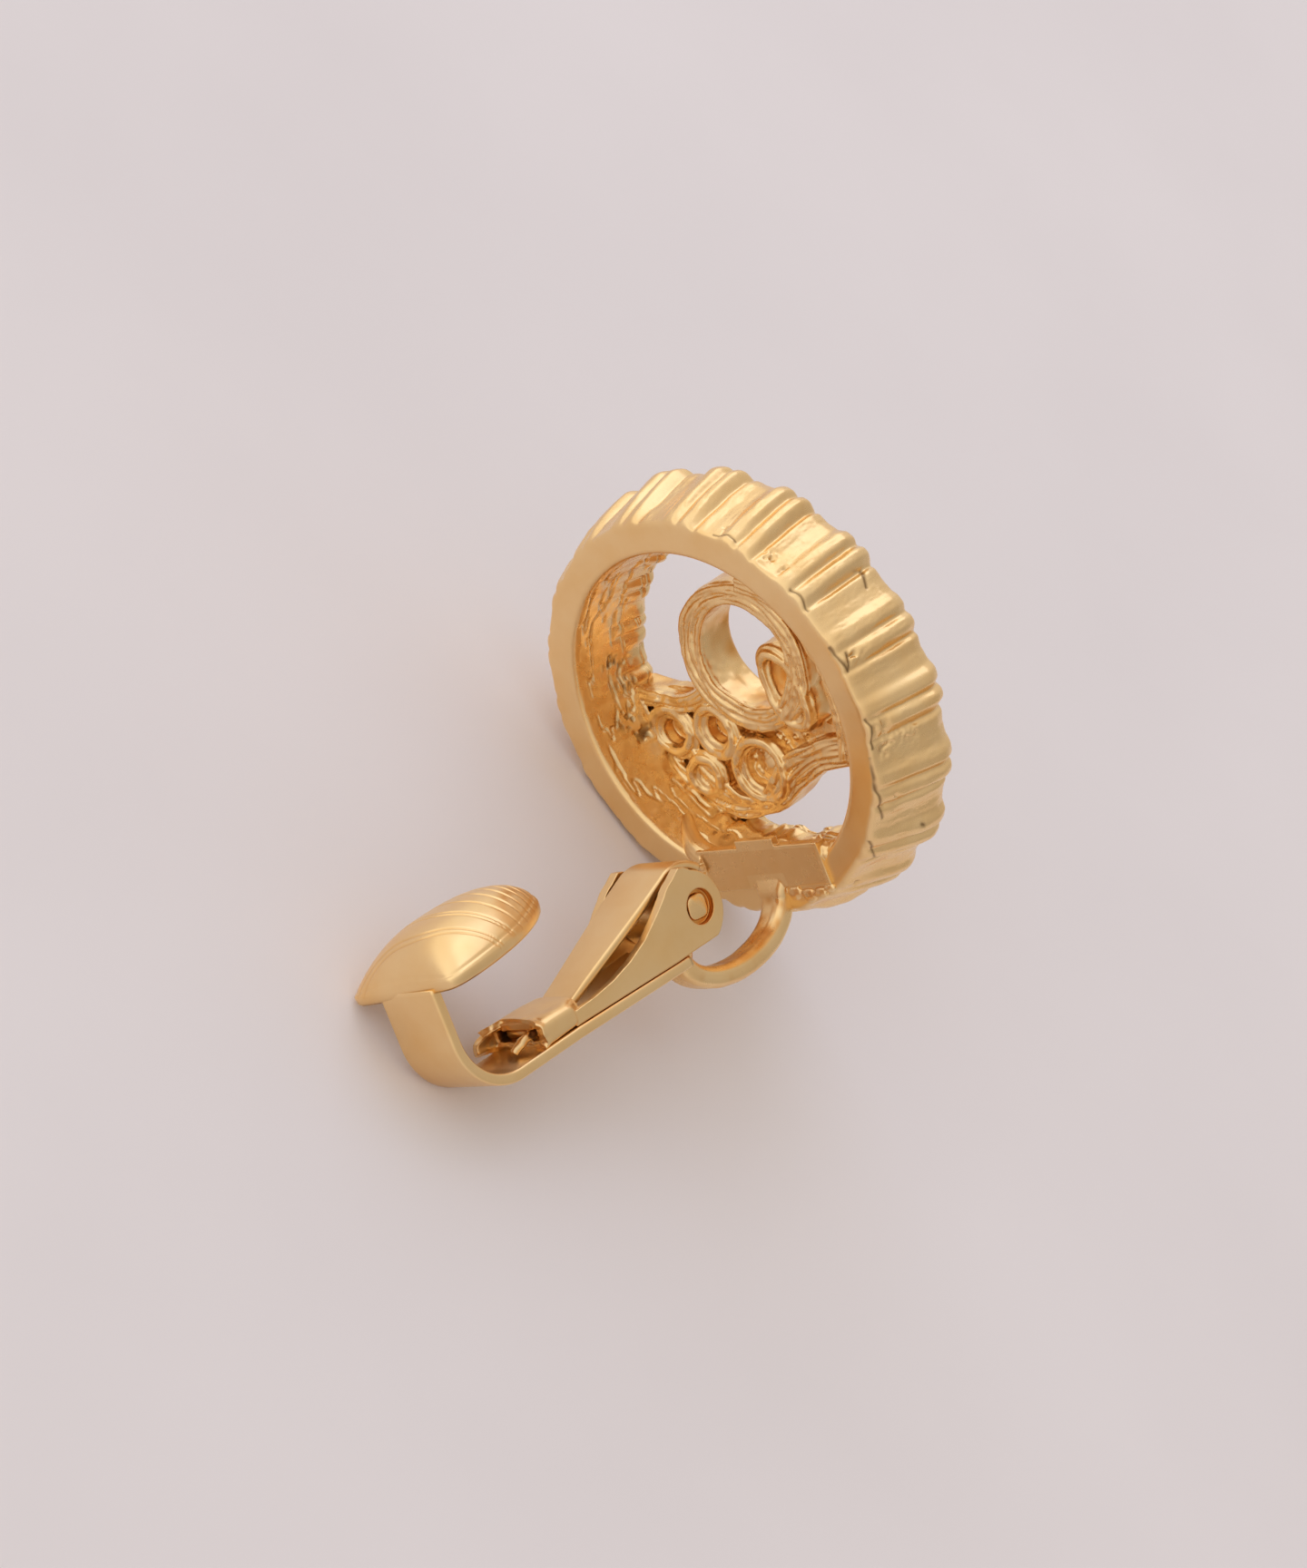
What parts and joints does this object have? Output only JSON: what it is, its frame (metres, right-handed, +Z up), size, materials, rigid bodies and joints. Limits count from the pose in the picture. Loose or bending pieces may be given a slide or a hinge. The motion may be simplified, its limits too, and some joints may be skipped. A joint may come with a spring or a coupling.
{
  "type": "clip on earring",
  "caption": "Round clip-on earring: a fluted drum ring around an openwork knot, with a hinged spring lever and a domed pad that grips the ear lobe.",
  "frame": {"origin": "centre of the bounding box at the surface that the earring lies on", "axes": "+Z up, +Y from the clip's pad towards the ring, +X to the side"},
  "size_m": [0.0265, 0.0346, 0.0257],
  "materials": {
    "gilt_casting": "bright gilt, lightly textured",
    "gilt_clip": "satin gilt",
    "gilt_pin": "polished gilt"
  },
  "bodies": {
    "medallion": {"fluted_medallion": "gilt_casting", "hinge_pin": "gilt_pin"},
    "lever": {"ear_channel": "gilt_clip", "lever_strip": "gilt_clip", "spring_tongue": "gilt_clip"}
  },
  "joints": [
    {"name": "lever_hinge", "type": "hinge", "parent": "medallion", "child": "lever", "pos_m": [0.0071, 0.00209, 0.00669], "axis": [-0.4269, 0.2048, -0.8808], "range_deg": [0, 92]}
  ]
}
